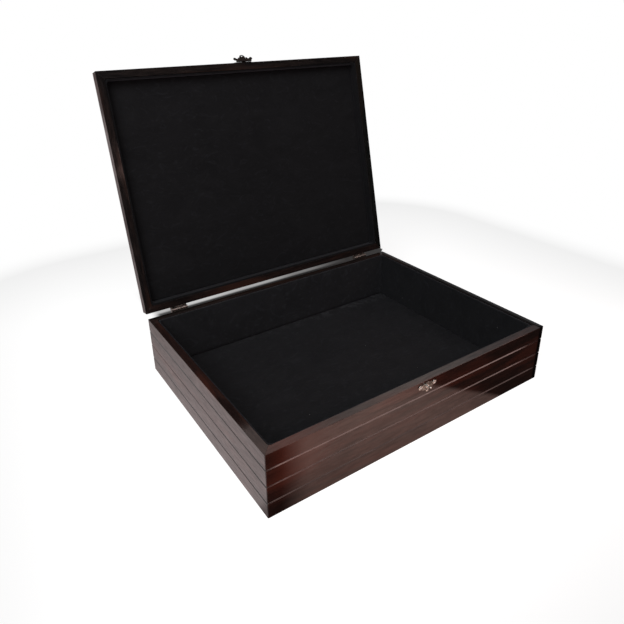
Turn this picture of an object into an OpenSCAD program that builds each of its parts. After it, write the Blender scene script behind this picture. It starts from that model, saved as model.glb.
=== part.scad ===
// Presentation box: a grooved wooden box with a hinged lid, a velvet lining and a small decorated clasp.
// Sizes are millimetres. X runs to the right, Y to the back and Z up.
// The origin is the middle of the underside. The lid is drawn closed and then turned open about its hinges.

/* [Box] */
// Outside width, left to right
box_w = 443; // [240:1:600]
// Outside depth, front to back
box_d = 338; // [160:1:480]
// Height of the base, from the table to its rim
base_h = 84; // [70:1:160]
// Height of the lid, from its rim to its top
lid_h = 20.9; // [20:0.1:32]
// Thickness of the wooden walls
wall_t = 10; // [8.5:0.5:14]
// Gap between the rims when the lid is closed
seam_gap = 0.1; // [0.05:0.05:0.4]
// Rounding of the upright corners
corner_r = 1; // [0.5:0.1:2]
// Rounding of the wooden walls' upright inside corners
cavity_r = 4; // [1:0.5:8]
// Chamfer on the outside edges of the two rims
arris = 0.2; // [0.1:0.1:1]
// Turn of the open lid, measured from closed
lid_open = 102.7; // [92:0.1:108]

/* [Grooves] */
// Number of grooves round the base
groove_count = 3; // [1:1:4]
// Depth of each groove
groove_depth = 1.1; // [0.6:0.1:2]
// Height of each groove
groove_h = 2.2; // [1.2:0.2:4]
// Height of the plain bands under the lowest groove and over the highest
edge_band = 20; // [18:1:24]

/* [Lid] */
// Radius along the lid's outside top edge
lid_round = 7.5; // [4:0.5:7.5]
// Thickness of the lid's top panel
top_t = 5; // [3:0.5:6]
// Gap round the top panel
top_fit = 0.1; // [0.05:0.05:0.3]

/* [Bottom] */
// Thickness of the bottom board
bottom_t = 5; // [3:0.5:8]
// Width of the ledge that the bottom board lies under
bottom_ledge = 5; // [2:0.5:6]
// Gap round the bottom board
bottom_fit = 0.15; // [0.05:0.05:0.4]

/* [Lining] */
// Thickness of the velvet lining on the walls
lining_t = 2.5; // [1.5:0.5:4]
// Thickness of the velvet pads on the floor and in the lid
pad_t = 3; // [2:0.5:5]
// How far the wall lining stops short of the rim
lining_drop = 1; // [0.5:0.5:4]
// Rounding of the lining's upright inside corners
lining_r = 6; // [3:0.5:12]
// Gap between the pads and the wall lining
lining_fit = 0.2; // [0.1:0.1:0.5]

/* [Hinges] */
// Width of each hinge
hinge_w = 25; // [20:1:40]
// Distance from the box's end to the middle of each hinge
hinge_inset = 50; // [30:1:80]
// Thickness of the hinge leaves
leaf_t = 1; // [0.8:0.1:1.5]
// Reach of each leaf from the hinge pin's axis
leaf_reach = 12.5; // [11:0.5:12.5]
// Distance of the hinge pin's axis behind the rear wall
axis_back = 4.7; // [4.5:0.1:6]
// Height of the hinge pin's axis above the middle of the seam
axis_rise = 0.45; // [0:0.05:0.5]
// Radius of the hinge knuckles
knuckle_r = 2.5; // [2:0.1:2.6]
// Radius of the hinge pins
pin_r = 1; // [0.8:0.1:1.4]
// Play of a pin in its knuckles, measured on the radius
pin_fit = 0.05; // [0.02:0.01:0.1]
// Gap between neighbouring knuckles
knuckle_gap = 0.2; // [0.1:0.05:0.4]
// Distance between a hinge's two screws in one leaf
hinge_screw_pitch = 15; // [12:1:16]

/* [Screws and nails] */
// Radius of the hinge screws' heads
screw_head_r = 2; // [1.7:0.1:2.4]
// Radius of the hinge screws' shanks
screw_r = 1.1; // [0.9:0.1:1.3]
// Length of the hinge screws
screw_len = 7.5; // [5:0.5:8]
// Radius of the clasp nails' domed heads
nail_head_r = 1.4; // [1:0.1:1.6]
// Height of the clasp nails' domed heads
nail_head_h = 0.7; // [0.4:0.1:0.8]
// Radius of the clasp nails' shanks
nail_r = 0.6; // [0.4:0.1:0.8]
// Length of the clasp nails' shanks under the head
nail_len = 6; // [4:0.5:7]
// Gap between a screw or nail and its hole
hole_fit = 0.05; // [0.02:0.01:0.1]

/* [Clasp] */
// Thickness of the clasp's stamped plates
plate_t = 0.8; // [0.6:0.1:1]
// Distance from the middle of each plate to the nail in its wing
wing_x = 11.3; // [10.8:0.1:12]
// Radius of the catch plate's round middle
catch_mid_r = 6; // [5.6:0.1:6.4]
// Radius of the hasp plate's round middle
plate_mid_r = 5.1; // [4.6:0.1:5.1]
// Height of the catch plate's middle below the hasp's hinge pin
catch_plate_drop = 8.8; // [8.4:0.1:9.4]
// Height of the hasp plate's middle above the hasp's hinge pin
hasp_plate_rise = 6.9; // [6.7:0.1:7.5]
// Distance of the hasp's hinge pin in front of the front wall
hasp_off = 2.3; // [2.2:0.1:3]
// Height of the hasp's hinge pin above the lid's rim
hasp_rise = 0.8; // [0.6:0.1:1.5]
// Radius of the hasp's knuckles
hasp_knuckle_r = 1.25; // [1:0.05:1.3]
// Radius of the hasp's hinge pin
hasp_pin_r = 0.6; // [0.5:0.05:0.7]
// Distance from the hasp's hinge pin to the hole in the hasp
hasp_hole_at = 9; // [8.6:0.1:9.4]
// Radius of the catch pin
catch_r = 0.85; // [0.8:0.05:1]
// Gap between the catch pin's round tip and the hole in the hasp
catch_fit = 0.2; // [0.15:0.05:0.3]
// Turn of the hasp away from the front, in degrees
hasp_open = 125; // [0:1:170]

/* [Hidden] */
$fn = 48;

mahogany = [0.24, 0.10, 0.07];
velvet = [0.09, 0.09, 0.10];
bronze = [0.36, 0.28, 0.19];

// heights that follow from the sizes above
lid_z = base_h + seam_gap;
lid_top = lid_z + lid_h;
groove_pitch = groove_count > 1 ? (base_h - 2 * edge_band) / (groove_count - 1) : 0;

// the cavity between the wooden walls, and the room left inside the wall lining
cavity_w = box_w - 2 * wall_t;
cavity_d = box_d - 2 * wall_t;
room_w = cavity_w - 2 * lining_t;
room_d = cavity_d - 2 * lining_t;

// the hinge pins' axis
hinge_y = box_d / 2 + axis_back;
hinge_z = base_h + seam_gap / 2 + axis_rise;
hinge_x = box_w / 2 - hinge_inset;
// each leaf has a shelf clear of the knuckles, and the two shelves meet as the stop of the open lid
shelf_in = knuckle_r + 0.6;
shelf_t = leaf_t + 0.2;
stop_gap = 0.05;
hinge_screw_w = (shelf_in + shelf_t + leaf_reach) / 2;
mid_knuckle = 8;
end_knuckle = (hinge_w - mid_knuckle) / 2 - knuckle_gap;
// the web between a knuckle and its shelf, sunk a little into both
web_in = 0.3;
web_w = knuckle_r + 0.2;
web_h = shelf_in - 1;
web_sink = 0.1;

// the crossed slots in the screws' heads, and the gap at a nail's tip
slot_len = 2.6;
slot_w = 0.5;
slot_depth = 0.4;
nail_tip_gap = 0.2;

// how far a shape that cuts reaches past what it cuts
over = 1;

// the hasp's hinge axis, and the half length of each of its pieces along X
hasp_y = -(box_d / 2 + hasp_off);
hasp_z = lid_z + hasp_rise;
middle_knuckle = 3;
side_knuckle_in = middle_knuckle + knuckle_gap;
side_knuckle_out = side_knuckle_in + 9;
side_knuckle_len = side_knuckle_out - side_knuckle_in;
knuckle_room = 0.35;
pin_head_r = 0.9;
pin_head_t = 0.4;
pin_play = 0.15;
// the tongue that carries the hasp plate's knuckle
tongue_half = middle_knuckle - 0.1;
tongue_z = 0.2;
tongue_t = 1.2;
// the hasp plate's straight sill, which starts just above the lid's rim and lies under all the knuckles
sill_drop = hasp_rise - 0.2;
sill_h = sill_drop + 3;
catch_tip_r = catch_r + 0.25;
catch_collar_r = catch_r + 0.35;
catch_collar_h = 0.7;
hasp_hole_r = catch_tip_r + catch_fit;
// radius of the raised beads that are stamped round the nails and the holes, and their room
bead_r = 0.4;
bead_room = 0.5;
nail_bead = nail_head_r + bead_r + bead_room;
catch_bead = catch_collar_r + bead_r + bead_room;
hasp_bead = hasp_hole_r + bead_r + 0.1;

// the plates' wings hang below their middles, and each plate has a peak on the side away from the hasp's pin
wing_z = -1.5;
wing_r = 3.2;
peak_r = 2.4;
catch_peak_z = 6;
hasp_plate_peak_z = 3;
// between its middle and each wing a plate narrows to a neck with a scallop above and below it
web_half = 4;
neck_x = wing_x - 4.3;
neck_top = 2.6;
neck_low = -3.6;
wing_web = wing_r - 0.5;
upper_scallop = [wing_x - 4.8, 1.9];
upper_scallop_r = 2.3;
lower_scallop = [wing_x - 5.1, -3];
lower_scallop_r = 1.7;

// the hasp's two side lobes, each with an eye, and its middle lobe
hasp_lobe_x = 13.4;
hasp_lobe_z = -4.3;
hasp_lobe_r = 2.4;
hasp_lobe_in = 1;
hasp_lobe_web = 2;
hasp_mid_r = 4.6;
hasp_reach = hasp_hole_at + 2.4;
hasp_eye_r = 0.6;
// the arms between them start under the knuckles and dip at a notch beside each shoulder
hasp_arm_z = -1.6;
hasp_notch = [9.8, -4.3];
hasp_shoulder = [6.4, -4.8];
hasp_shoulder_r = 1.8;

// where the clasp's nails are, as X and Z from the hasp's hinge axis
peak_nail_in = 0.4;
catch_nails = [
  [-wing_x, -catch_plate_drop - wing_z], [wing_x, -catch_plate_drop - wing_z],
  [0, -catch_plate_drop - catch_peak_z]
];
hasp_plate_nails_at = [
  [-wing_x, hasp_plate_rise + wing_z], [wing_x, hasp_plate_rise + wing_z],
  [0, hasp_plate_rise + hasp_plate_peak_z - peak_nail_in]
];

// the catch pin stands in its plate on a collar and bends along the circle that the hasp's hole swings on
catch_bend_out = 0.3;
catch_root_angle = asin((hasp_off - plate_t) / hasp_hole_at);
catch_root_z = hasp_z - hasp_hole_at * cos(catch_root_angle);
catch_bend_angle = asin((hasp_off - plate_t - catch_bend_out) / hasp_hole_at);
catch_tip_angle = 25;

// plan outline with round corners, centred on the origin
module rounded_outline(w, d, r) {
  square([w - 2 * r, d], center = true);
  square([w, d - 2 * r], center = true);
  for (sx = [-1, 1], sy = [-1, 1]) {
    translate([sx * (w / 2 - r), sy * (d / 2 - r)]) circle(r);
  }
}

// draws a Y-Z profile and carries it along X
module along_x(len) {
  rotate([90, 0, 90]) linear_extrude(len, center = true) children();
}

// draws an X-Z outline and thickens it forwards, towards -Y
module towards_front(t) {
  rotate([90, 0, 0]) linear_extrude(t) children();
}

// turns a piece drawn for the front to the side that it belongs to: front 0, right 1, rear 2, left 3
module on_side(side) {
  rotate([0, 0, 90 * side]) children();
}
function side_len(side) = side % 2 == 0 ? box_w : box_d;
function side_out(side) = side % 2 == 0 ? box_d / 2 : box_w / 2;

// turns the closed lid's pieces about the hinge pins to where they stand open
module as_opened() {
  translate([0, hinge_y, hinge_z]) rotate([-lid_open, 0, 0]) translate([0, -hinge_y, -hinge_z]) children();
}

// the plan of one side between its two mitres, as a column from z0 up to z1
module mitred_column(side, z0, z1) {
  len = side_len(side);
  out = side_out(side);
  reach = wall_t + cavity_r;
  translate([0, 0, z0]) linear_extrude(z1 - z0) difference() {
    intersection() {
      rounded_outline(len, 2 * out, corner_r);
      polygon([
        [-len / 2, -out], [len / 2, -out],
        [len / 2 - reach, -out + reach], [-len / 2 + reach, -out + reach]
      ]);
    }
    rounded_outline(len - 2 * wall_t, 2 * (out - wall_t), cavity_r);
  }
}

// the base wall's profile: grooves outside, a chamfer at the rim and a ledge over the bottom board
function groove_points(out) = [
  for (i = [0:groove_count - 1]) let (z = edge_band + i * groove_pitch)
    each [[-out, z - groove_h / 2], [-out + groove_depth, z], [-out, z + groove_h / 2]]
];
function base_profile(out) =
  let (inner = -out + wall_t + cavity_r, ledge = -out + wall_t - bottom_ledge)
  concat(
    [[-out, 0]],
    groove_points(out),
    [
      [-out, base_h - arris], [-out + arris, base_h], [inner, base_h],
      [inner, bottom_t], [ledge, bottom_t], [ledge, 0]
    ]
  );

module base_wall(side) {
  on_side(side) intersection() {
    mitred_column(side, 0, base_h);
    along_x(side_len(side)) polygon(base_profile(side_out(side)));
  }
}

// the lid rail's profile: a round outside top edge, a chamfer at the rim and a ledge under the top panel
module rail_profile(out) {
  reach = wall_t + cavity_r;
  difference() {
    intersection() {
      translate([-out, lid_z]) square([reach, lid_h]);
      union() {
        translate([-out, lid_z - over]) square([reach, lid_h - lid_round + over]);
        translate([-out + lid_round, lid_z]) square([reach, lid_h + over]);
        translate([-out + lid_round, lid_top - lid_round]) circle(lid_round, $fn = 96);
      }
    }
    translate([-out + lid_round, lid_top - top_t]) square([reach, top_t + over]);
    polygon([
      [-out - over, lid_z - over], [-out + arris + over, lid_z - over], [-out - over, lid_z + arris + over]
    ]);
  }
}

module lid_rail(side) {
  on_side(side) intersection() {
    mitred_column(side, lid_z, lid_top);
    along_x(side_len(side)) rail_profile(side_out(side));
  }
}

// one side of the wall lining, between two mitres, with the room's round corners cut out of it
module lining_side(side, z0, z1) {
  len = side_len(side) - 2 * wall_t;
  out = side_out(side) - wall_t;
  reach = lining_t + lining_r;
  on_side(side) translate([0, 0, z0]) linear_extrude(z1 - z0) difference() {
    intersection() {
      rounded_outline(len, 2 * out, cavity_r);
      polygon([
        [-len / 2, -out], [len / 2, -out],
        [len / 2 - reach, -out + reach], [-len / 2 + reach, -out + reach]
      ]);
    }
    rounded_outline(len - 2 * lining_t, 2 * (out - lining_t), lining_r);
  }
}

// a velvet pad that fills the room's plan, from z0 up to z1
module pad(z0, z1) {
  translate([0, 0, z0]) linear_extrude(z1 - z0)
    rounded_outline(room_w - 2 * lining_fit, room_d - 2 * lining_fit, lining_r - lining_fit);
}

// countersunk cross-slotted screw: its head is level with the origin and it runs towards -Y
module hinge_screw() {
  head_h = screw_head_r - screw_r;
  rotate([90, 0, 0]) difference() {
    rotate_extrude() polygon([
      [0, 0], [screw_head_r, 0], [screw_r, head_h], [screw_r, screw_len - screw_r], [0, screw_len]
    ]);
    for (turn = [0, 90]) {
      rotate([0, 0, turn]) translate([-slot_len / 2, -slot_w / 2, -over])
        cube([slot_len, slot_w, over + slot_depth]);
    }
  }
}

// the room that a hinge screw needs in the leaf and the wood
module hinge_screw_hole() {
  head_h = screw_head_r - screw_r;
  rotate([90, 0, 0]) rotate_extrude() polygon([
    [0, -over], [screw_head_r + hole_fit, -over], [screw_head_r + hole_fit, 0],
    [screw_r + hole_fit, head_h], [screw_r + hole_fit, screw_len + hole_fit], [0, screw_len + hole_fit]
  ]);
}

// the places of the hinge screws, for the base with up = -1 and for the lid with up = 1
module at_hinge_screws(up) {
  for (sx = [-1, 1], end = [-1, 1]) {
    translate([sx * hinge_x + end * hinge_screw_pitch / 2, box_d / 2 + leaf_t, hinge_z + up * hinge_screw_w])
      children();
  }
}

// domed nail: its head stands on the origin towards -Y and its shank runs towards +Y
module nail() {
  dome_r = (nail_head_r * nail_head_r + nail_head_h * nail_head_h) / (2 * nail_head_h);
  rotate([90, 0, 0]) rotate_extrude() {
    translate([0, -nail_len]) square([nail_r, nail_len + nail_head_h / 4]);
    intersection() {
      translate([0, nail_head_h - dome_r]) circle(dome_r, $fn = 96);
      square([nail_head_r, nail_head_h]);
    }
  }
}
module nail_hole() {
  rotate([-90, 0, 0]) translate([0, 0, -over])
    cylinder(r = nail_r + hole_fit, h = over + nail_len + nail_tip_gap);
}
module at_clasp(places) {
  for (p = places) {
    translate([p[0], -box_d / 2 - plate_t, hasp_z + p[1]]) children();
  }
}

// one hinge leaf in profile about the pin's axis, for the base: a plate, its shelf and its stop face
function stop_y(z) = z / tan(lid_open / 2) - stop_gap / 2 / sin(lid_open / 2);
module leaf_profile() {
  plate_y = -axis_back + leaf_t;
  polygon([
    [-axis_back, -leaf_reach], [plate_y, -leaf_reach], [plate_y, -shelf_in - shelf_t],
    [stop_y(shelf_in + shelf_t), -shelf_in - shelf_t], [stop_y(shelf_in), -shelf_in], [-axis_back, -shelf_in]
  ]);
}

// a knuckle and the web that carries it on the shelf
module knuckle(len) {
  along_x(len) {
    circle(knuckle_r);
    translate([-knuckle_r + web_in, -shelf_in - web_sink]) square([web_w, web_h]);
  }
}

// the leaf below the axis has the two end knuckles, and the leaf above it has the middle one
module hinge_leaf(sx, up) {
  mid = hinge_w / 2 - end_knuckle / 2;
  difference() {
    translate([sx * hinge_x, hinge_y, hinge_z]) mirror([0, 0, up > 0 ? 1 : 0]) difference() {
      union() {
        along_x(hinge_w) leaf_profile();
        if (up > 0) {
          knuckle(mid_knuckle);
        } else {
          for (end = [-1, 1]) {
            translate([end * mid, 0, 0]) knuckle(end_knuckle);
          }
        }
      }
      rotate([0, 90, 0]) cylinder(r = pin_r + pin_fit, h = hinge_w + 2 * over, center = true);
    }
    at_hinge_screws(up) hinge_screw_hole();
  }
}

module hinge_pin(sx) {
  color(bronze) translate([sx * hinge_x, hinge_y, hinge_z]) rotate([0, 90, 0])
    cylinder(r = pin_r, h = hinge_w, center = true);
}

// a raised round bead of radius r, standing half out of the plate's face
module bead_ring(r) {
  rotate([90, 0, 0]) rotate_extrude() translate([r, 0]) circle(bead_r, $fn = 24);
}

// the stamped outline of the two fixed plates: a round middle, a peak and two scrolled wings
module plate_outline(mid_r, peak_z) {
  circle(mid_r);
  translate([0, peak_z]) circle(peak_r);
  for (sx = [-1, 1]) mirror([sx < 0 ? 1 : 0, 0]) {
    translate([wing_x, wing_z]) circle(wing_r);
    translate(upper_scallop) circle(upper_scallop_r);
    translate(lower_scallop) circle(lower_scallop_r);
    polygon([
      [0, -web_half], [neck_x, neck_low], [wing_x, wing_z - wing_web],
      [wing_x, wing_z + wing_web], [neck_x, neck_top], [0, web_half]
    ]);
  }
}

module catch_plate() {
  color(bronze) difference() {
    union() {
      translate([0, -box_d / 2, hasp_z - catch_plate_drop])
        towards_front(plate_t) mirror([0, 1]) plate_outline(catch_mid_r, catch_peak_z);
      at_clasp([catch_nails[0], catch_nails[1]]) bead_ring(nail_bead);
      translate([0, -box_d / 2 - plate_t, catch_root_z]) bead_ring(catch_bead);
    }
    at_clasp(catch_nails) nail_hole();
    translate([0, -box_d / 2, catch_root_z]) rotate([90, 0, 0])
      cylinder(r = catch_r + hole_fit, h = 2 * (plate_t + bead_r + over), center = true);
  }
}

module catch_pin() {
  color(bronze) {
    translate([0, -box_d / 2 - plate_t, catch_root_z]) {
      rotate([-90, 0, 0]) cylinder(r = catch_r, h = nail_len);
      rotate([90, 0, 0]) cylinder(r = catch_collar_r, h = catch_collar_h);
    }
    translate([0, hasp_y, hasp_z]) rotate([0, 90, 180]) {
      rotate([0, 0, -catch_bend_angle]) rotate_extrude(angle = catch_bend_angle + catch_tip_angle)
        translate([hasp_hole_at, 0]) circle(catch_r);
      rotate([0, 0, catch_tip_angle]) translate([hasp_hole_at, 0, 0]) sphere(catch_tip_r);
    }
  }
}

module catch_plate_nails() {
  color(bronze) at_clasp(catch_nails) nail();
}

module hasp_plate() {
  color(bronze) as_opened() difference() {
    union() {
      translate([0, -box_d / 2, hasp_z + hasp_plate_rise])
        towards_front(plate_t) plate_outline(plate_mid_r, hasp_plate_peak_z);
      at_clasp(hasp_plate_nails_at) bead_ring(nail_bead);
      translate([-side_knuckle_out, -box_d / 2 - plate_t, hasp_z - sill_drop])
        cube([2 * side_knuckle_out, plate_t, sill_h]);
      translate([-tongue_half, -box_d / 2 - hasp_off, hasp_z + tongue_z])
        cube([2 * tongue_half, hasp_off, tongue_t]);
      translate([0, hasp_y, hasp_z]) rotate([0, 90, 0])
        cylinder(r = hasp_knuckle_r, h = 2 * middle_knuckle, center = true);
    }
    translate([0, hasp_y, hasp_z]) rotate([0, 90, 0])
      cylinder(r = hasp_pin_r + pin_fit, h = 2 * (middle_knuckle + over), center = true);
    at_clasp(hasp_plate_nails_at) nail_hole();
  }
}

module hasp_plate_nails() {
  color(bronze) as_opened() at_clasp(hasp_plate_nails_at) nail();
}

module hasp_pin() {
  color(bronze) as_opened() translate([0, hasp_y, hasp_z]) rotate([0, 90, 0]) {
    cylinder(r = hasp_pin_r, h = 2 * (side_knuckle_out + pin_play) + pin_head_t, center = true);
    for (end = [-1, 1]) {
      translate([0, 0, end * (side_knuckle_out + pin_play + pin_head_t / 2)])
        cylinder(r = pin_head_r, h = pin_head_t, center = true);
    }
  }
}

// the swinging hasp, drawn hanging down from its pin: the middle lobe goes round the hole, and a side
// lobe with an eye ends each of its two arms
module hasp_outline() {
  for (sx = [-1, 1]) mirror([sx < 0 ? 1 : 0, 0]) {
    translate([side_knuckle_in, hasp_arm_z]) square([side_knuckle_len, -hasp_arm_z]);
    difference() {
      union() {
        polygon([
          [0, hasp_arm_z], [side_knuckle_out, hasp_arm_z],
          [hasp_lobe_x + hasp_lobe_in, hasp_lobe_z + hasp_lobe_web],
          [hasp_lobe_x - hasp_lobe_in, hasp_lobe_z - hasp_lobe_web],
          hasp_notch, [0, hasp_notch[1]]
        ]);
        translate([hasp_lobe_x, hasp_lobe_z]) circle(hasp_lobe_r);
        translate(hasp_shoulder) circle(hasp_shoulder_r);
      }
      translate([hasp_lobe_x, hasp_lobe_z]) circle(hasp_eye_r);
    }
  }
  translate([0, hasp_mid_r - hasp_reach]) circle(hasp_mid_r);
}

module hasp() {
  color(bronze) as_opened() translate([0, hasp_y, hasp_z]) rotate([-hasp_open, 0, 0]) difference() {
    union() {
      translate([0, plate_t / 2, 0]) towards_front(plate_t) hasp_outline();
      for (end = [-1, 1]) {
        translate([end * (side_knuckle_in + side_knuckle_out) / 2, 0, 0]) rotate([0, 90, 0])
          cylinder(r = hasp_knuckle_r, h = side_knuckle_len, center = true);
      }
      translate([0, -plate_t / 2, -hasp_hole_at]) bead_ring(hasp_bead);
    }
    rotate([0, 90, 0]) {
      cylinder(r = hasp_pin_r + pin_fit, h = 2 * (side_knuckle_out + over), center = true);
      cylinder(r = hasp_knuckle_r + knuckle_room, h = 2 * side_knuckle_in, center = true);
    }
    translate([0, 0, -hasp_hole_at]) rotate([90, 0, 0])
      cylinder(r = hasp_hole_r, h = 2 * (plate_t + bead_r + over), center = true);
  }
}

module base_front_wall() {
  color(mahogany) difference() {
    base_wall(0);
    at_clasp(catch_nails) nail_hole();
    translate([0, -box_d / 2 - plate_t, catch_root_z]) rotate([-90, 0, 0])
      cylinder(r = catch_r + hole_fit, h = nail_len + nail_tip_gap);
  }
}
module base_right_wall() {
  color(mahogany) base_wall(1);
}
module base_rear_wall() {
  color(mahogany) difference() {
    base_wall(2);
    at_hinge_screws(-1) hinge_screw_hole();
  }
}
module base_left_wall() {
  color(mahogany) base_wall(3);
}

module bottom_board() {
  inset = wall_t - bottom_ledge + bottom_fit;
  color(mahogany) translate([-box_w / 2 + inset, -box_d / 2 + inset, 0])
    cube([box_w - 2 * inset, box_d - 2 * inset, bottom_t]);
}

module base_floor_lining() {
  color(velvet) pad(bottom_t, bottom_t + pad_t);
}
module base_lining(side) {
  color(velvet) lining_side(side, bottom_t, base_h - lining_drop);
}

module base_hinge_leaf(sx) {
  color(bronze) hinge_leaf(sx, -1);
}
module base_hinge_screws() {
  color(bronze) at_hinge_screws(-1) hinge_screw();
}

module lid_front_rail() {
  color(mahogany) as_opened() difference() {
    lid_rail(0);
    at_clasp(hasp_plate_nails_at) nail_hole();
  }
}
module lid_right_rail() {
  color(mahogany) as_opened() lid_rail(1);
}
module lid_rear_rail() {
  color(mahogany) as_opened() difference() {
    lid_rail(2);
    at_hinge_screws(1) hinge_screw_hole();
  }
}
module lid_left_rail() {
  color(mahogany) as_opened() lid_rail(3);
}

module lid_top_panel() {
  inset = lid_round + top_fit;
  color(mahogany) as_opened() translate([-box_w / 2 + inset, -box_d / 2 + inset, lid_top - top_t])
    cube([box_w - 2 * inset, box_d - 2 * inset, top_t]);
}

module lid_top_lining() {
  color(velvet) as_opened() pad(lid_top - top_t - pad_t, lid_top - top_t);
}
module lid_lining(side) {
  color(velvet) as_opened() lining_side(side, lid_z + lining_drop, lid_top - top_t);
}

module lid_hinge_leaf(sx) {
  color(bronze) as_opened() hinge_leaf(sx, 1);
}
module lid_hinge_screws() {
  color(bronze) as_opened() at_hinge_screws(1) hinge_screw();
}

base_front_wall();
base_rear_wall();
base_left_wall();
base_right_wall();
bottom_board();
base_floor_lining();
base_lining(0);  // base_front_lining
base_lining(2);  // base_rear_lining
base_lining(3);  // base_left_lining
base_lining(1);  // base_right_lining
base_hinge_leaf(-1);  // base_hinge_leaf_left
base_hinge_leaf(1);  // base_hinge_leaf_right
hinge_pin(-1);  // hinge_pin_left
hinge_pin(1);  // hinge_pin_right
base_hinge_screws();
catch_plate();
catch_pin();
catch_plate_nails();
lid_front_rail();
lid_rear_rail();
lid_left_rail();
lid_right_rail();
lid_top_panel();
lid_top_lining();
lid_lining(0);  // lid_front_lining
lid_lining(2);  // lid_rear_lining
lid_lining(3);  // lid_left_lining
lid_lining(1);  // lid_right_lining
lid_hinge_leaf(-1);  // lid_hinge_leaf_left
lid_hinge_leaf(1);  // lid_hinge_leaf_right
lid_hinge_screws();
hasp_plate();
hasp_plate_nails();
hasp_pin();
hasp();
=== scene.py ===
import math

import bmesh
import bpy
from mathutils import Matrix, Vector


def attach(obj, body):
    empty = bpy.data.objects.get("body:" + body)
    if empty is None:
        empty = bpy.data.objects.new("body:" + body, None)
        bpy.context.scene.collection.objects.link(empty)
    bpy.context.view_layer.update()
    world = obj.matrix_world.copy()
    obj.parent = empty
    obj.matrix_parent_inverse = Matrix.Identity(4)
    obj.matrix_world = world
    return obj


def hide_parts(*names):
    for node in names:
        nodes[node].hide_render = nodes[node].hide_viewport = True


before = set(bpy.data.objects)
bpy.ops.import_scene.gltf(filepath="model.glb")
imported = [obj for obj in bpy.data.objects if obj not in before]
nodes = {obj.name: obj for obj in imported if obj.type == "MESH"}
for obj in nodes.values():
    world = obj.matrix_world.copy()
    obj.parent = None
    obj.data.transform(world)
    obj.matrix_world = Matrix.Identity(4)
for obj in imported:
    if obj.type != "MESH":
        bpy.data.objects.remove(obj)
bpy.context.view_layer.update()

# Sizes repeated from the solid model, in metres. The lid's pieces are made closed and then turned open.
MM = 0.001
BOX_W, BOX_D = 443 * MM, 338 * MM
LEFT, FRONT = -BOX_W / 2, -BOX_D / 2
WALL = 10 * MM
HINGE = Vector((0, 173.7 * MM, 84.5 * MM))
OPEN = math.radians(-102.7)
TURN = Matrix.Translation(HINGE) @ Matrix.Rotation(OPEN, 4, "X") @ Matrix.Translation(-HINGE)
LINING_T, LINING_R = 2.5 * MM, 6 * MM
CAVITY_R = 4 * MM
ROOM_W = BOX_W - 2 * WALL - 2 * LINING_T
ROOM_D = BOX_D - 2 * WALL - 2 * LINING_T
# Heights in the closed box: a pad's covered face and hidden back, and the edge of the wall lining.
BASE_FACE, BASE_BACK, BASE_EDGE = 8 * MM, 5 * MM, 83 * MM
LID_FACE, LID_BACK, LID_EDGE = 97 * MM, 100 * MM, 85.1 * MM


# ---- shader nodes

def connect(tree, value, socket):
    """Link a socket to the input, or set the input to a plain value."""
    if isinstance(value, bpy.types.NodeSocket):
        tree.links.new(value, socket)
    else:
        socket.default_value = value


def add(tree, kind, **inputs):
    """A node of that kind, with inputs linked from sockets or set to values."""
    node = tree.nodes.new(kind)
    for name, value in inputs.items():
        connect(tree, value, node.inputs[name.replace("_", " ")])
    return node


def empty_tree(owner):
    owner.use_nodes = True
    owner.node_tree.nodes.clear()
    return owner.node_tree


def new_material(name):
    """A material with a Principled shader alone."""
    mat = bpy.data.materials.new(name)
    tree = empty_tree(mat)
    out = tree.nodes.new("ShaderNodeOutputMaterial")
    bsdf = tree.nodes.new("ShaderNodeBsdfPrincipled")
    connect(tree, bsdf.outputs["BSDF"], out.inputs["Surface"])
    return mat, tree, bsdf


def math_node(tree, operation, a, b=0.0):
    node = tree.nodes.new("ShaderNodeMath")
    node.operation = operation
    connect(tree, a, node.inputs[0])
    connect(tree, b, node.inputs[1])
    return node.outputs[0]


def product(tree, first, *others):
    for other in others:
        first = math_node(tree, "MULTIPLY", first, other)
    return first


def multiply_add(tree, value, factor, addend):
    return math_node(tree, "ADD", product(tree, value, factor), addend)


def minus(tree, a, b):
    return math_node(tree, "SUBTRACT", a, b)


def maximum(tree, a, b):
    return math_node(tree, "MAXIMUM", a, b)


def step(tree, value, start, end, low=0.0, high=1.0, shape="SMOOTHSTEP"):
    """Low at start, high at end, a smooth or LINEAR way between them and level outside."""
    node = add(tree, "ShaderNodeMapRange", Value=value, From_Min=start, From_Max=end, To_Min=low, To_Max=high)
    node.interpolation_type = shape
    return node.outputs["Result"]


def ramp(tree, factor, stops):
    """Colours, or plain numbers as greys, at their places along factor."""
    node = tree.nodes.new("ShaderNodeValToRGB")
    tree.links.new(factor, node.inputs[0])
    while len(node.color_ramp.elements) < len(stops):
        node.color_ramp.elements.new(0.5)
    for element, (at, colour) in zip(node.color_ramp.elements, stops):
        element.position = at
        element.color = (*colour, 1) if isinstance(colour, tuple) else (colour, colour, colour, 1)
    return node.outputs["Color"]


def mix(tree, factor, a, b, blend="MIX"):
    """Colour a where factor is 0, and b, or a with b blended in, where it is 1."""
    node = tree.nodes.new("ShaderNodeMix")
    node.data_type, node.blend_type = "RGBA", blend
    connect(tree, factor, node.inputs[0])
    for value, socket in ((a, node.inputs[6]), (b, node.inputs[7])):
        connect(tree, (*value, 1) if isinstance(value, tuple) else value, socket)
    return node.outputs[2]


def grey(value):
    return value, value, value


def noise(tree, vector, scale, detail=3.0, roughness=0.55, distortion=0.0):
    node = add(tree, "ShaderNodeTexNoise", Vector=vector, Scale=scale, Detail=detail,
               Roughness=roughness, Distortion=distortion)
    return node.outputs["Fac"]


def bump(tree, height, distance, strength=1.0, normal=None):
    node = add(tree, "ShaderNodeBump", Height=height, Distance=distance, Strength=strength)
    if normal is not None:
        tree.links.new(normal, node.inputs["Normal"])
    return node.outputs["Normal"]


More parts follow.
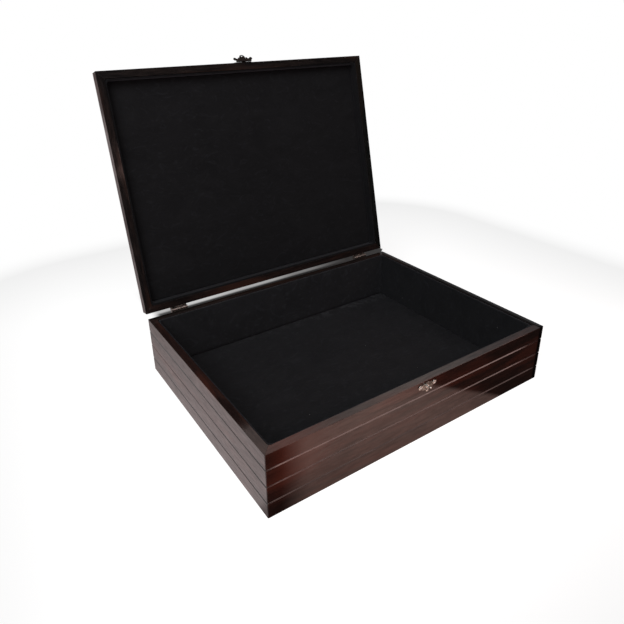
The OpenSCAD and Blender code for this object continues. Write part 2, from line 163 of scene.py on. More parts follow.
def soft_edges(tree, radius):
    node = add(tree, "ShaderNodeBevel", Radius=radius)
    node.samples = 4
    return node.outputs[0]


def split(tree, vector):
    return add(tree, "ShaderNodeSeparateXYZ", Vector=vector).outputs


def piece_coords(tree, opened, seed, scale):
    """A piece's place in the closed box, and the same scaled and moved on by the seed."""
    coord = tree.nodes.new("ShaderNodeTexCoord").outputs["Object"]
    if opened:
        back = add(tree, "ShaderNodeMapping", Vector=coord)
        back.vector_type = "TEXTURE"
        back.inputs["Location"].default_value = TURN.to_translation()
        back.inputs["Rotation"].default_value = (OPEN, 0, 0)
        coord = back.outputs["Vector"]
    scaled = add(tree, "ShaderNodeMapping", Vector=coord, Scale=scale,
                 Location=(seed * 3.17, seed * 1.31, seed * 2.23))
    return coord, scaled.outputs["Vector"]


# ---- materials: colours are linear, noise scales are per metre

GRAIN_ALONG, GRAIN_ACROSS = 9.0, 75.0
STAIN = [(0.34, (0.007, 0.0036, 0.0032)), (0.47, (0.014, 0.0060, 0.0050)),
         (0.56, (0.024, 0.0090, 0.0070)), (0.70, (0.040, 0.0140, 0.0100))]
PORE_STAIN, CLOUD_STAIN = (0.006, 0.0018, 0.0012), (0.009, 0.0046, 0.0040)
# LEFT_END_PAINTED_LIGHT is painted light on the front wall's left end; RIGHT_END_PAINTED_SHADE, from
# RIGHT_SHADE_FROM to RIGHT_SHADE_TO, is painted shade on the edge of its right end.
GLOW_STAIN, LEFT_END_PAINTED_LIGHT = (0.070, 0.0180, 0.0110), (0.100, 0.0230, 0.0140)
RIGHT_END_PAINTED_SHADE, RIGHT_SHADE_FROM, RIGHT_SHADE_TO = (0.004, 0.003, 0.003), 212.5 * MM, 214.5 * MM
POLISH = 0.74
COAT_ROUGHNESS, COAT_IOR = 0.09, 1.45

NAP_DARK, NAP_LIGHT, PILE_TIPS = (0.0056, 0.0058, 0.0066), (0.0110, 0.0113, 0.0127), (0.0145, 0.0148, 0.0165)
WORN_PILE, DUST, LINT = (0.0185, 0.0195, 0.0225), (0.030, 0.031, 0.034), (0.22, 0.22, 0.21)
SHEEN_TINT = (0.75, 0.78, 0.9, 1)

# Painted light and shade: three copies of one bronze, the hinges' tones lighter, the catch's darker and the
# hasp's almost black, as if it mirrored a dark room.
HINGE_PAINTED_LIGHT = (0.06, 0.054, 0.050), (0.24, 0.220, 0.205), (0.50, 0.475, 0.45)
CATCH_PAINTED_SHADE = (0.014, 0.013, 0.011), (0.14, 0.135, 0.115), (0.46, 0.46, 0.43)
HASP_PAINTED_SHADE = (0.005, 0.004, 0.004), (0.013, 0.011, 0.010), (0.045, 0.038, 0.034)
# Wear and a painted highlight: the pale colour of what stands out in front of WORN_AND_HIGHLIGHT_FROM, full
# after WORN_AND_HIGHLIGHT_DEPTH.
WORN_AND_HIGHLIGHT_BRONZE, WORN_AND_HIGHLIGHT_FROM, WORN_AND_HIGHLIGHT_DEPTH = (0.74, 0.75, 0.73), FRONT - 0.75 * MM, 0.35 * MM


def mahogany_stain(tree, coord, grain, streaks, pores):
    """The wood's figure: bands and streaks with pores, dull clouds and glowing blotches."""
    bands = noise(tree, grain, 1.0, 2.0, 0.5, 0.6)
    colour = ramp(tree, multiply_add(tree, bands, 0.55, product(tree, streaks, 0.45)), STAIN)
    colour = mix(tree, product(tree, pores, 0.6), colour, PORE_STAIN)
    colour = mix(tree, product(tree, noise(tree, coord, 14.0, 2.0, 0.5), 0.35), colour, CLOUD_STAIN)
    glow = ramp(tree, noise(tree, grain, 0.55, 2.0, 0.5, 0.8), [(0.5, 0.0), (0.68, 1.0)])
    return mix(tree, product(tree, glow, 0.5), colour, GLOW_STAIN)


def wood(name, along, opened=False, seed=0.0, soft=0.4, tint=(1.0, 1.0, 1.0), polish=POLISH,
         lit_and_shaded_ends=False, dull_from=None, rim=None, outer_polish=POLISH):
    """Dark mahogany under clear lacquer, with its grain along X or Y of the closed box.

    soft is how round the lacquer makes the edges look, in mm; tint is painted light and shade, making the
    stain lighter on some pieces and darker and greyer on others; polish is the gloss between the streaks;
    lit_and_shaded_ends paints light on the board's left end, redder above the bottom, and paints shade as a
    black, less glossy edge on its right end; dull_from is the X, in metres, where a dull inner part of the rim
    ends.
    With rim, tint and polish hold fully from its first height to the rim and end at its second height, and
    outer_polish holds on the rest.
    """
    mat, tree, bsdf = new_material(name)
    scale = [GRAIN_ACROSS] * 3
    scale["XY".index(along)] = GRAIN_ALONG
    coord, grain = piece_coords(tree, opened, seed, scale)
    x, _, z = split(tree, coord)
    streaks = noise(tree, grain, 5.5, 4.0, 0.62, 0.3)
    pores = ramp(tree, noise(tree, grain, 16.0, 2.0, 0.5), [(0.33, 1.0), (0.42, 0.0)])
    on_rim = 1.0 if rim is None else step(tree, z, rim[1], rim[0])

    colour = mahogany_stain(tree, coord, grain, streaks, pores)
    # Painted light and shade: the tint makes this piece's stain lighter, or darker and greyer, than on other
    # pieces.
    colour = mix(tree, on_rim, colour, tint, "MULTIPLY")
    gloss = mix(tree, on_rim, ramp(tree, streaks, [(0.34, outer_polish), (0.62, 1.0)]),
                ramp(tree, streaks, [(0.34, polish), (0.62, 1.0)]))
    # Painted light and shade: the left end is redder, as if lit from the left, less so low down and at the very
    # corner; the right end's edge is black and less glossy.
    if lit_and_shaded_ends:
        red = product(tree, step(tree, multiply_add(tree, streaks, 0.06, x), -0.08, -0.17, 0.0, 0.62),
                      step(tree, z, 0.004, 0.055), step(tree, x, -0.222, -0.195, 0.3))
        colour = mix(tree, red, colour, LEFT_END_PAINTED_LIGHT)
        colour = mix(tree, step(tree, x, RIGHT_SHADE_FROM, RIGHT_SHADE_TO), colour, RIGHT_END_PAINTED_SHADE)
        gloss = product(tree, gloss, step(tree, x, RIGHT_SHADE_FROM, RIGHT_SHADE_TO, 1.0, 0.2))
    if dull_from is not None:
        gloss = product(tree, gloss, step(tree, x, dull_from - 1.5 * MM, dull_from, 0.2))
    connect(tree, colour, bsdf.inputs["Base Color"])
    connect(tree, multiply_add(tree, streaks, 0.18, 0.26), bsdf.inputs["Roughness"])
    connect(tree, gloss, bsdf.inputs["Coat Weight"])

    edges = soft_edges(tree, soft * MM)
    sunk = minus(tree, product(tree, streaks, 0.25), pores)
    connect(tree, bump(tree, sunk, 0.03 * MM, 0.6, edges), bsdf.inputs["Normal"])
    coat_height = multiply_add(tree, sunk, 0.25, noise(tree, coord, 160.0, 2.0, 0.5))
    connect(tree, bump(tree, coat_height, 0.02 * MM, 0.5, edges), bsdf.inputs["Coat Normal"])
    bsdf.inputs["Specular IOR Level"].default_value = 0.0
    bsdf.inputs["Coat Roughness"].default_value = COAT_ROUGHNESS
    bsdf.inputs["Coat IOR"].default_value = COAT_IOR
    return mat


def velvet(name, opened=False, seed=0.0, painted_light_level=1.0, dusty=False):
    """Black short-pile velvet with a brushed nap, faint streaks and a few specks of lint.

    lift is painted light and shade: it makes this piece's pile lighter above 1 and darker below 1. With
    dusty, a little dust lies along the rear edge, most of it in the right corner.
    """
    mat, tree, bsdf = new_material(name)
    coord, brushed = piece_coords(tree, opened, seed, (1.0, 1.6, 1.0))
    nap = noise(tree, brushed, 17.0, 3.0, 0.55, 1.2)
    strokes = noise(tree, brushed, 60.0, 3.0, 0.6, 2.5)
    smears = noise(tree, brushed, 30.0, 2.0, 0.6, 4.0)
    pile = noise(tree, coord, 2600.0, 2.0, 0.6)
    tone = multiply_add(tree, nap, 0.6, product(tree, strokes, 0.4))
    colour = ramp(tree, tone, [(0.36, NAP_DARK), (0.66, NAP_LIGHT)])
    colour = mix(tree, product(tree, pile, 0.5), colour, PILE_TIPS)
    colour = mix(tree, ramp(tree, smears, [(0.56, 0.0), (0.72, 0.55)]), colour, WORN_PILE)
    # Painted light and shade: lift lightens or darkens the whole piece's pile.
    colour = mix(tree, 1.0, colour, grey(painted_light_level), "MULTIPLY")
    if dusty:
        x, y, _ = split(tree, coord)
        dust = ramp(tree, noise(tree, coord, 75.0, 3.0, 0.6, 1.0), [(0.48, 0.0), (0.62, 1.0)])
        dust = product(tree, dust, step(tree, y, 0.130, 0.152), step(tree, x, -0.10, 0.19, 0.25, 1.0))
        colour = mix(tree, dust, colour, DUST)
    cells = add(tree, "ShaderNodeTexVoronoi", Vector=brushed, Scale=42.0, Randomness=1.0)
    is_speck = math_node(tree, "LESS_THAN", cells.outputs["Distance"], 0.024)
    draw = add(tree, "ShaderNodeSeparateColor", Color=cells.outputs["Color"]).outputs[0]
    lint = product(tree, is_speck, math_node(tree, "LESS_THAN", draw, 0.08))
    connect(tree, mix(tree, lint, colour, LINT), bsdf.inputs["Base Color"])
    bsdf.inputs["Roughness"].default_value = 0.95
    bsdf.inputs["Specular IOR Level"].default_value = 0.12
    bsdf.inputs["Sheen Weight"].default_value = 0.06
    bsdf.inputs["Sheen Roughness"].default_value = 0.5
    bsdf.inputs["Sheen Tint"].default_value = SHEEN_TINT
    fluff = multiply_add(tree, noise(tree, coord, 420.0, 2.0), 1.4, pile)
    connect(tree, bump(tree, fluff, 0.12 * MM, 0.7), bsdf.inputs["Normal"])
    return mat


def bronze(name, tones, opened=False, seed=0.0, worn_and_highlit=False):
    """Old bronze in three tones of patina and, with rubbed, a pale colour on what stands proud: wear with a
    painted highlight.
    """
    mat, tree, bsdf = new_material(name)
    coord, _ = piece_coords(tree, opened, seed, (1, 1, 1))
    patches = noise(tree, coord, 420.0, 4.0, 0.6, 0.4)
    grit = noise(tree, coord, 2600.0, 3.0, 0.6)
    tone = multiply_add(tree, patches, 0.7, product(tree, grit, 0.3))
    colour = ramp(tree, tone, list(zip((0.36, 0.5, 0.66), tones)))
    if worn_and_highlit:
        # Wear and a painted highlight: what stands proud of the plate turns pale.
        proud = minus(tree, WORN_AND_HIGHLIGHT_FROM, split(tree, coord)[1])
        colour = mix(tree, step(tree, proud, 0.0, WORN_AND_HIGHLIGHT_DEPTH, shape="LINEAR"), colour, WORN_AND_HIGHLIGHT_BRONZE)
    connect(tree, colour, bsdf.inputs["Base Color"])
    connect(tree, multiply_add(tree, patches, 0.25, 0.12 if worn_and_highlit else 0.2), bsdf.inputs["Roughness"])
    connect(tree, bump(tree, tone, 0.05 * MM, 0.5, soft_edges(tree, 0.15 * MM)), bsdf.inputs["Normal"])
    bsdf.inputs["Metallic"].default_value = 1.0
    return mat


# ---- wood and metal, on the solid model's own pieces

def dress(names, mat):
    for name in names:
        obj = nodes[name]
        obj.data.materials.clear()
        obj.data.materials.append(mat)


# Heights at which a rim's painted tint and its polish hold fully, and at which they have ended.
BASE_RIM, LID_RIM = (83.6 * MM, 82 * MM), (84.5 * MM, 86.1 * MM)
# Painted light and shade, as tints of the stain: the left wall lighter, as lit from the left; the rear wall
# and the lid's front, left and rear rims greyer, a painted grey reflection; the base's and the lid's right
# rims darker and greyer, painted shade with a grey reflection.
PAINTED_GREY_REFLECTION, PAINTED_SHADE_GREY = (0.62, 1.15, 1.35), (0.4, 0.75, 0.85)
PAINTED_REAR_REFLECTION, PAINTED_PALE_REFLECTION, PAINTED_DEEP_SHADE_GREY = (0.85, 1.4, 1.5), (0.85, 1.4, 1.6), (0.3, 0.8, 0.95)
PAINTED_LIGHT_LEFT = (1.2, 1.5, 1.6)
for node, place, along, options in (
        ("base_front_wall", "base_front", "X", dict(seed=1.0, soft=0.2, lit_and_shaded_ends=True)),
        ("base_rear_wall", "base_rear", "X", dict(seed=2.0, tint=PAINTED_REAR_REFLECTION)),
        ("base_left_wall", "base_left", "Y", dict(seed=3.0, tint=PAINTED_LIGHT_LEFT)),
        ("base_right_wall", "base_right", "Y", dict(seed=4.0, tint=PAINTED_SHADE_GREY, dull_from=217 * MM,
                                                    rim=BASE_RIM)),
        ("bottom_board", "bottom", "X", dict(seed=5.0)),
        ("lid_front_rail", "lid_front", "X", dict(opened=True, seed=6.0, soft=0.5, tint=PAINTED_GREY_REFLECTION, polish=0.2,
                                                  rim=LID_RIM)),
        ("lid_rear_rail", "lid_rear", "X", dict(opened=True, seed=7.0, soft=0.5, tint=PAINTED_PALE_REFLECTION, polish=0.3,
                                                rim=LID_RIM)),
        ("lid_left_rail", "lid_left", "Y", dict(opened=True, seed=8.0, soft=0.9, tint=PAINTED_GREY_REFLECTION, polish=0.2,
                                                rim=LID_RIM, outer_polish=0.4)),
        ("lid_right_rail", "lid_right", "Y", dict(opened=True, seed=9.0, soft=0.5, tint=PAINTED_DEEP_SHADE_GREY, polish=0.2,
                                                  rim=LID_RIM)),
        ("lid_top_panel", "lid_top", "X", dict(opened=True, seed=10.0))):
    dress([node], wood(f"wood_{place}", along, **options))

dress(["base_hinge_leaf_left", "base_hinge_leaf_right", "hinge_pin_left", "hinge_pin_right",
       "base_hinge_screws"], bronze("bronze_hinges", HINGE_PAINTED_LIGHT, seed=1.0))
dress(["lid_hinge_leaf_left", "lid_hinge_leaf_right", "lid_hinge_screws"],
      bronze("bronze_lid_hinges", HINGE_PAINTED_LIGHT, opened=True, seed=2.0))
dress(["catch_plate", "catch_pin", "catch_plate_nails"],
      bronze("bronze_catch", CATCH_PAINTED_SHADE, seed=3.0, worn_and_highlit=True))
dress(["hasp_plate", "hasp_plate_nails", "hasp_pin", "hasp"],
      bronze("bronze_hasp", HASP_PAINTED_SHADE, opened=True, seed=4.0))


# ---- velvet lining, one piece of covered board for each piece of the solid model

SHY = 0.02 * MM  # by which hidden backs stay off the wood
PAD_PLAY, PAD_ROLL = 0.2 * MM, 0.8 * MM
STRIP_ROLL = 1.15 * MM


def wave(x, y, z, size):
    """A slow, smooth unevenness of the stretched cloth, between -size and size."""
    return size * (math.sin(31 * x + 17 * z + 0.7) * math.sin(27 * y - 19 * z + 1.9)
                   + 0.5 * math.sin(71 * x - 43 * y + 0.4) * math.sin(59 * z + 37 * y)) / 1.5


def finish_piece(name, bm, body, node, mat, turned):
    bmesh.ops.remove_doubles(bm, verts=bm.verts, dist=1e-6)
    bmesh.ops.recalc_face_normals(bm, faces=bm.faces)
    if turned:
        bmesh.ops.transform(bm, matrix=TURN, verts=bm.verts)
    mesh = bpy.data.meshes.new(name)
    bm.to_mesh(mesh)
    bm.free()
    for polygon in mesh.polygons:
        polygon.use_smooth = True
    obj = bpy.data.objects.new(name, mesh)
    bpy.context.scene.collection.objects.link(obj)
    obj.data.materials.append(mat)
    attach(obj, body)
    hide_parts(node)


def spread(length, edge, pitch):
    """Positions from -length / 2 to length / 2: close together near the ends, pitch apart between them."""
    near = [0.0, 0.12, 0.3, 0.55, 0.85, 1.2, 1.7, 2.5, 4.0]
    left = [-length / 2 + edge * v for v in near]
    inner = length - 2 * edge * near[-1]
    count = max(2, round(inner / pitch))
    middle = [-inner / 2 + inner * i / count for i in range(1, count)]
    return left + middle + [-v for v in reversed(left)]


def cover_pad(name, body, node, mat, face_z, back_z, turned=False):
    """A flat pad: its covered face at face_z rolls over at the edge and goes down to back_z."""
    width, depth, corner = ROOM_W - 2 * PAD_PLAY, ROOM_D - 2 * PAD_PLAY, LINING_R - PAD_PLAY
    up = 1 if face_z > back_z else -1
    roll = PAD_ROLL
    bm = bmesh.new()
    xs, ys = spread(width, roll, 6 * MM), spread(depth, roll, 6 * MM)

    def place(x, y):
        """The corners of the square grid moved in to the rounded outline."""
        cx, cy = abs(x) - (width / 2 - corner), abs(y) - (depth / 2 - corner)
        if cx > 0 and cy > 0:
            k = max(cx, cy) / math.hypot(cx, cy)
            x = math.copysign(width / 2 - corner + cx * k, x)
            y = math.copysign(depth / 2 - corner + cy * k, y)
        return x, y

    def edge_distance(x, y):
        cx, cy = abs(x) - (width / 2 - corner), abs(y) - (depth / 2 - corner)
        if cx > 0 and cy > 0:
            return corner - math.hypot(cx, cy)
        return min(width / 2 - abs(x), depth / 2 - abs(y))

    grid = []
    for x0 in xs:
        row = []
        for y0 in ys:
            x, y = place(x0, y0)
            d = max(0.0, edge_distance(x, y))
            fall = roll - math.sqrt(max(0.0, roll ** 2 - (roll - min(d, roll)) ** 2))
            crown = 0.35 * MM * math.exp(-d / (14 * MM))
            ripple = wave(x, y, face_z, 0.12 * MM) * min(1.0, d / (10 * MM))
            row.append(bm.verts.new((x, y, face_z - up * (0.15 * MM + fall + crown) + ripple)))
        grid.append(row)
    for a, b in zip(grid, grid[1:]):
        for j in range(len(ys) - 1):
            bm.faces.new((a[j], b[j], b[j + 1], a[j + 1]))
    rim = ([row[0] for row in grid] + grid[-1][1:]
           + [row[-1] for row in reversed(grid[:-1])] + grid[0][-2:0:-1])
    low = [bm.verts.new((v.co.x, v.co.y, back_z + up * SHY)) for v in rim]
    for a in range(len(rim)):
        b = (a + 1) % len(rim)
        bm.faces.new((rim[a], low[a], low[b], rim[b]))
    bm.faces.new(low)
    finish_piece(name, bm, body, node, mat, turned)


def strip_corner(sign, length, out):
    """Half of a rounded corner from its mitre inwards: x, y, the normal's x, y and the hidden back's x, y."""
    centre_x, centre_y = sign * (length / 2 - LINING_T - LINING_R), -out + LINING_T + LINING_R
    arc = []
    for i in range(9):
        a = math.radians(45 * (1 - i / 8))
        arc.append((centre_x + sign * LINING_R * math.sin(a), centre_y - LINING_R * math.cos(a),
                    sign * math.sin(a), -math.cos(a),
                    sign * (length / 2 - CAVITY_R * (1 - math.sin(a))), -out + CAVITY_R * (1 - math.cos(a))))
    return arc


def cover_strip(name, body, node, mat, side, rim_z, deep_z, turned=False):
    """A covered strip on one wall, between two mitres, with a rolled edge at the rim.

    side is 0 front, 1 right, 2 rear, 3 left. The strip runs from rim_z to deep_z.
    """
    length = (BOX_W if side % 2 == 0 else BOX_D) - 2 * WALL
    out = (BOX_D if side % 2 == 0 else BOX_W) / 2 - WALL
    up = 1 if rim_z > deep_z else -1
    roll = STRIP_ROLL
    left, right = strip_corner(-1, length, out), strip_corner(1, length, out)
    start, inner = left[-1][0], right[-1][0] - left[-1][0]
    count = round(inner / (8 * MM))
    middle = [(start + inner * i / count, -out + LINING_T, 0.0, -1.0, start + inner * i / count, -out)
              for i in range(1, count)]
    path = left + middle + right[::-1]

    height = abs(rim_z - deep_z)
    parts = 10 if height > 30 * MM else 4
    levels = [height * i / parts for i in range(parts + 1)]
    levels = [h for h in levels if h < height - roll - 0.5 * MM] + [height - roll]
    bm = bmesh.new()
    rows = []
    spin = Matrix.Rotation(math.radians(90 * side), 4, "Z")
    for k, (x, y, nx, ny, back_x, back_y) in enumerate(path):
        at_end = k in (0, len(path) - 1)
        row = [(x, y, h) for h in levels]
        for i in range(1, 7):
            a = math.radians(15 * i)
            row.append((x + nx * roll * (1 - math.cos(a)), y + ny * roll * (1 - math.cos(a)),
                        height - roll + roll * math.sin(a)))
        row.append((back_x - nx * SHY, back_y - ny * SHY, height))
        row.append((back_x - nx * SHY, back_y - ny * SHY, 0.0))
        made = []
        for n, (px, py, h) in enumerate(row):
            if 0 < n < len(row) - 2 and not at_end:
                dent = 0.12 * MM + wave(px + side, py, h, 0.1 * MM)
                px, py = px + nx * dent, py + ny * dent
            made.append(bm.verts.new(spin @ Vector((px, py, deep_z + up * h))))
        rows.append(made)
    for a, b in zip(rows, rows[1:]):
        for n in range(len(a)):
            m = (n + 1) % len(a)
            bm.faces.new((a[n], b[n], b[m], a[m]))
    bm.faces.new(rows[0])
    bm.faces.new(rows[-1][::-1])
    finish_piece(name, bm, body, node, mat, turned)


# Painted light and shade: copies of one velvet, lighter on the walls and most on the rear wall, darker in the
# lid.
floor_cloth = velvet("velvet_floor", seed=1.0, dusty=True)
wall_cloth = velvet("velvet_walls", seed=2.0, painted_light_level=1.2)
rear_cloth = velvet("velvet_rear", seed=5.0, painted_light_level=1.65)
lid_cloth = velvet("velvet_lid", opened=True, seed=3.0, painted_light_level=0.78)
lid_side_cloth = velvet("velvet_lid_sides", opened=True, seed=4.0, painted_light_level=0.62)
cover_pad("velvet_floor_pad", "base", "base_floor_lining", floor_cloth, BASE_FACE, BASE_BACK)
cover_pad("velvet_lid_pad", "lid", "lid_top_lining", lid_cloth, LID_FACE, LID_BACK, True)
for side, place in enumerate(("front", "right", "rear", "left")):
    cover_strip(f"velvet_base_{place}", "base", f"base_{place}_lining",
                rear_cloth if place == "rear" else wall_cloth, side, BASE_EDGE, BASE_BACK)
    cover_strip(f"velvet_lid_{place}", "lid", f"lid_{place}_lining", lid_side_cloth, side,
                LID_EDGE, LID_BACK, True)


# ---- floor

NEAR_RIGHT, NEAR_BACK = 0.37, 0.37  # where the floor near the box ends
FLOOR_GLOW, FLOOR_PAPER = 0.85, 0.44
# Painted shadow and light on the floor under the lid: brightness of the floor seen between lid and base, at its
# places from BAND_LEFT to BAND_RIGHT.
BAND_LEFT, BAND_RIGHT = -0.2, 0.4
BAND = [(0.13, 0.26), (0.16, 0.46), (0.24, 0.50), (0.32, 0.37), (0.47, 0.31), (0.55, 0.15),
        (0.63, 0.14), (0.71, 0.05), (0.78, 0.0)]
PALE_PINK, ROSE = (1.0, 0.85, 0.84), (1.0, 0.66, 0.57)


def distance_from_box(tree, x, y):
    def outside(value, low, high):
        """How far value lies outside the range from low to high."""
        return maximum(tree, maximum(tree, minus(tree, low, value), 0.0), minus(tree, value, high))

    beside, behind = outside(x, LEFT, NEAR_RIGHT), outside(y, FRONT, NEAR_BACK)
    return math_node(tree, "SQRT", multiply_add(tree, beside, beside, product(tree, behind, behind)))


def floor_seen(tree, x, y, away):
    """The floor that the camera sees: white but for the box's shadow and a painted shadow, a soft grey band
    under the lid.
    """
    near_rim = product(tree, math_node(tree, "MINIMUM", maximum(tree, minus(tree, 0.335, y), 0.0), 0.011), 1.1)
    right_end = step(tree, math_node(tree, "ADD", x, near_rim), 0.3705, 0.366)
    left_end = step(tree, x, -0.172, -0.153)
    # Painted shadow: under the lid the paper is darker and glows less, the same with the lid open and closed.
    under_lid = product(tree, step(tree, y, 0.12, 0.30), step(tree, y, 0.46, 0.352), left_end, right_end)
    darkest = maximum(tree, step(tree, y, 0.337, 0.328), step(tree, x, 0.08, 0.24))
    darkest = product(tree, darkest, under_lid)
    # Painted light and shade along the band: how much the floor there glows, from BAND.
    lit = ramp(tree, step(tree, x, BAND_LEFT, BAND_RIGHT, shape="LINEAR"), BAND)
    lit = product(tree, lit, step(tree, y, 0.328, 0.337))
    band = mix(tree, lit, mix(tree, darkest, grey(0.9), grey(0.22)), grey(0.0))
    far = step(tree, away, 0.0, 0.42)
    tone = mix(tree, far, mix(tree, under_lid, grey(FLOOR_PAPER), band), grey(0.0))
    paper = add(tree, "ShaderNodeBsdfDiffuse", Color=tone)
    white = (1, 1, 1, 1)
    strength = maximum(tree, far, mix(tree, under_lid, grey(FLOOR_GLOW), lit))
    glow = add(tree, "ShaderNodeEmission", Color=white, Strength=strength)
    seen = tree.nodes.new("ShaderNodeAddShader")
    connect(tree, paper.outputs[0], seen.inputs[0])
    connect(tree, glow.outputs[0], seen.inputs[1])
    return seen.outputs[0]


def front_light(tree, x, y):
    """The bright patch in front of the box, brighter further out, that the front wall mirrors."""
    out = minus(tree, FRONT - 8 * MM, y)
    near_side = step(tree, multiply_add(tree, out, -0.62, x), -0.208, -0.158)
    across = multiply_add(tree, out, 0.84, x)
    far_side = product(tree, step(tree, across, 0.148, 0.130), step(tree, across, 0.16, 0.03, 0.62, 1.0))
    patch = product(tree, near_side, far_side, step(tree, out, 0.0, 0.19, 0.98, 2.9, shape="LINEAR"))
    front = maximum(tree, patch, step(tree, out, 0.10, 0.25, 0.05, 0.15))
    return product(tree, front, step(tree, out, 0.22, 0.4, 1.0, 0.12))


def left_light(tree, x, y):
    """The light left of the box: weaker to the back, at the box's corner and further out."""
    along = product(tree, step(tree, y, -0.16, 0.35, 1.12, 0.58), step(tree, y, 0.38, 0.7, 1.0, 0.68))
    glint = multiply_add(tree, step(tree, y, 1.0, 1.3), step(tree, y, 3.0, 2.4, 0.0, 0.9), 1.0)
    corner = maximum(tree, minus(tree, LEFT, x), minus(tree, y, FRONT))
    return product(tree, along, glint, step(tree, corner, 0.008, 0.03, 0.4, 1.0),
                   step(tree, x, -0.245, -0.31, 1.0, 1.16), step(tree, x, -0.325, -0.36, 1.0, 0.87))


def floor_gloss(tree, x, y, away):
    """The pattern of light that glossy and all other rays meet."""
    in_left = step(tree, x, LEFT + 1 * MM, LEFT)
    in_front = product(tree, step(tree, y, FRONT + 1 * MM, FRONT), minus(tree, 1.0, in_left))
    in_rest = minus(tree, minus(tree, 1.0, in_left), in_front)
    rest = product(tree, step(tree, away, 0.0, 0.25, 0.1, 0.5), step(tree, x, 0.0, 0.25, 1.0, 1.6))
    shine = multiply_add(tree, in_left, left_light(tree, x, y), product(tree, in_front, front_light(tree, x, y)))
    shine = multiply_add(tree, in_rest, rest, shine)
    return add(tree, "ShaderNodeEmission", Color=mix(tree, in_front, PALE_PINK, ROSE), Strength=shine).outputs[0]


def floor_material():
    """Pale floor: it shows the object's shadow near the object and a painted shadow under the lid, and is a soft
    pattern of light in gloss.
    """
    mat = bpy.data.materials.new("floor_pale")
    tree = empty_tree(mat)
    out = tree.nodes.new("ShaderNodeOutputMaterial")
    light = tree.nodes.new("ShaderNodeLightPath")
    x, y, _ = split(tree, tree.nodes.new("ShaderNodeTexCoord").outputs["Object"])
    away = distance_from_box(tree, x, y)
    by_camera = add(tree, "ShaderNodeMixShader", Fac=light.outputs["Is Camera Ray"])
    connect(tree, floor_gloss(tree, x, y, away), by_camera.inputs[1])
    connect(tree, floor_seen(tree, x, y, away), by_camera.inputs[2])
    connect(tree, by_camera.outputs[0], out.inputs["Surface"])
    return mat


bm = bmesh.new()
bmesh.ops.create_grid(bm, x_segments=1, y_segments=1, size=30)
floor_mesh = bpy.data.meshes.new("floor")
bm.to_mesh(floor_mesh)
bm.free()
floor = bpy.data.objects.new("floor", floor_mesh)
floor.location.z = -0.4 * MM
floor_mesh.materials.append(floor_material())
bpy.context.scene.collection.objects.link(floor)


# ---- world, lamps and camera

def studio_world():
    """White to the camera, a little even light on the object, and in gloss a room with a band of light."""
    world = bpy.data.worlds.new("studio")
    tree = empty_tree(world)
    out = tree.nodes.new("ShaderNodeOutputWorld")
    light = tree.nodes.new("ShaderNodeLightPath")
    x, y, z = split(tree, tree.nodes.new("ShaderNodeTexCoord").outputs["Generated"])
    sky = ramp(tree, z, [(0.0, (0.15, 0.15, 0.15)), (0.30, (0.13, 0.13, 0.13)), (0.37, (0.30, 0.31, 0.32)),
                         (0.44, (0.24, 0.25, 0.26)), (0.50, (0.42, 0.44, 0.45)),
                         (0.57, (1.30, 1.16, 1.10)), (0.68, (1.00, 0.78, 0.73))])
    sky = mix(tree, 1.0, sky, ramp(tree, y, [(0.0, 0.42), (0.35, 1.0)]), "MULTIPLY")
    band = mix(tree, 1.0, ramp(tree, product(tree, x, -1.0), [(0.3, 0.0), (0.45, 1.4)]),
               ramp(tree, z, [(0.18, 0.0), (0.24, 1.0), (0.32, 1.0), (0.38, 0.0)]), "MULTIPLY")
    ambient = add(tree, "ShaderNodeBackground", Color=(1, 1, 1, 1), Strength=0.10)
    white = add(tree, "ShaderNodeBackground", Color=(1, 1, 1, 1), Strength=1.0)
    room = add(tree, "ShaderNodeBackground", Color=mix(tree, 1.0, sky, band, "ADD"), Strength=1.0)
    first = add(tree, "ShaderNodeMixShader", Fac=light.outputs["Is Camera Ray"])
    connect(tree, ambient.outputs[0], first.inputs[1])
    connect(tree, white.outputs[0], first.inputs[2])
    second = add(tree, "ShaderNodeMixShader", Fac=light.outputs["Is Glossy Ray"])
    connect(tree, first.outputs[0], second.inputs[1])
    connect(tree, room.outputs[0], second.inputs[2])
    connect(tree, second.outputs[0], out.inputs["Surface"])
    return world


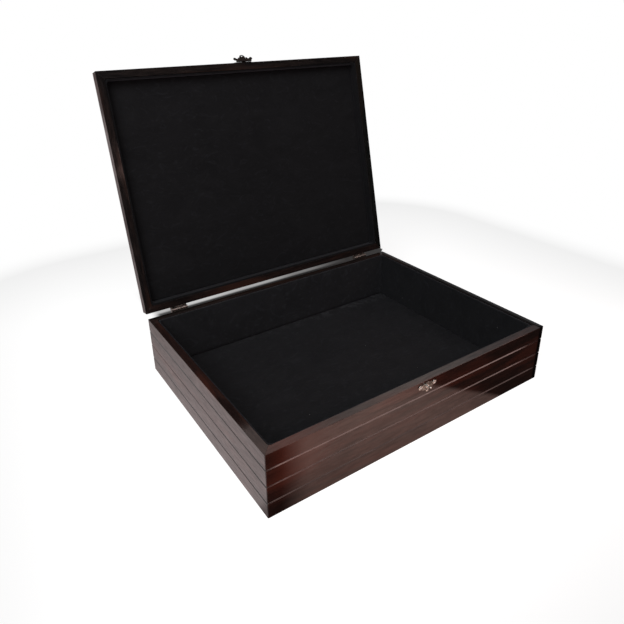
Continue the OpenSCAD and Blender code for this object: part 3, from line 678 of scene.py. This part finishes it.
def lamp(name, power, width, height, place, aim, along=(1, 0, 0), colour=(1, 1, 1)):
    """A flat lamp at place that shines towards aim, with its width along the given direction."""
    data = bpy.data.lights.new(name, "AREA")
    data.shape, data.size, data.size_y, data.energy = "RECTANGLE", width, height, power
    data.color = colour
    obj = bpy.data.objects.new(name, data)
    back = (Vector(place) - Vector(aim)).normalized()
    wide = Vector(along)
    wide = (wide - back * wide.dot(back)).normalized()
    axes = Matrix((wide, back.cross(wide), back)).transposed().to_4x4()
    obj.matrix_world = Matrix.Translation(place) @ axes
    bpy.context.scene.collection.objects.link(obj)


def photo_camera():
    """The photo's camera, as it was fitted to the box's corners."""
    place = (-0.422635, -0.556583, 0.477161)
    yaw, pitch, roll = (math.radians(v) for v in (33.41239, 23.55540, 0.94437))
    data = bpy.data.cameras.new("camera")
    data.sensor_width, data.lens = 36, 32.547
    data.shift_x, data.shift_y = 0.00688, -0.07497
    obj = bpy.data.objects.new("camera", data)
    forward = Vector((math.sin(yaw) * math.cos(pitch), math.cos(yaw) * math.cos(pitch), -math.sin(pitch)))
    right = Vector((math.cos(yaw), -math.sin(yaw), 0))
    down = forward.cross(right)
    tilted_right = math.cos(roll) * right + math.sin(roll) * down
    tilted_down = math.cos(roll) * down - math.sin(roll) * right
    axes = Matrix((tilted_right, -tilted_down, -forward)).transposed().to_4x4()
    obj.matrix_world = Matrix.Translation(place) @ axes
    bpy.context.scene.collection.objects.link(obj)
    return obj


LAMP_ROSE = (1.0, 0.66, 0.60)
bpy.context.scene.world = studio_world()
lamp("key", 14, 0.9, 0.9, (-1.0, -0.55, 1.3), (0, 0, 0.08))
lamp("top", 5, 1.4, 1.4, (0.1, -0.8, 1.9), (0, 0, 0.1))
lamp("strip", 0.58, 0.63, 0.06, (0.322, -0.568, 0.439), (0, -0.1685, 0.064), (0.485, 0.302, -0.283), LAMP_ROSE)
lamp("low_strip", 0.2, 0.67, 0.05, (0.319, -0.587, 0.375), (0, -0.1685, 0.02), (0.482, 0.3075, -0.26), LAMP_ROSE)
bpy.context.scene.camera = photo_camera()
bpy.context.scene.view_settings.view_transform = "Standard"
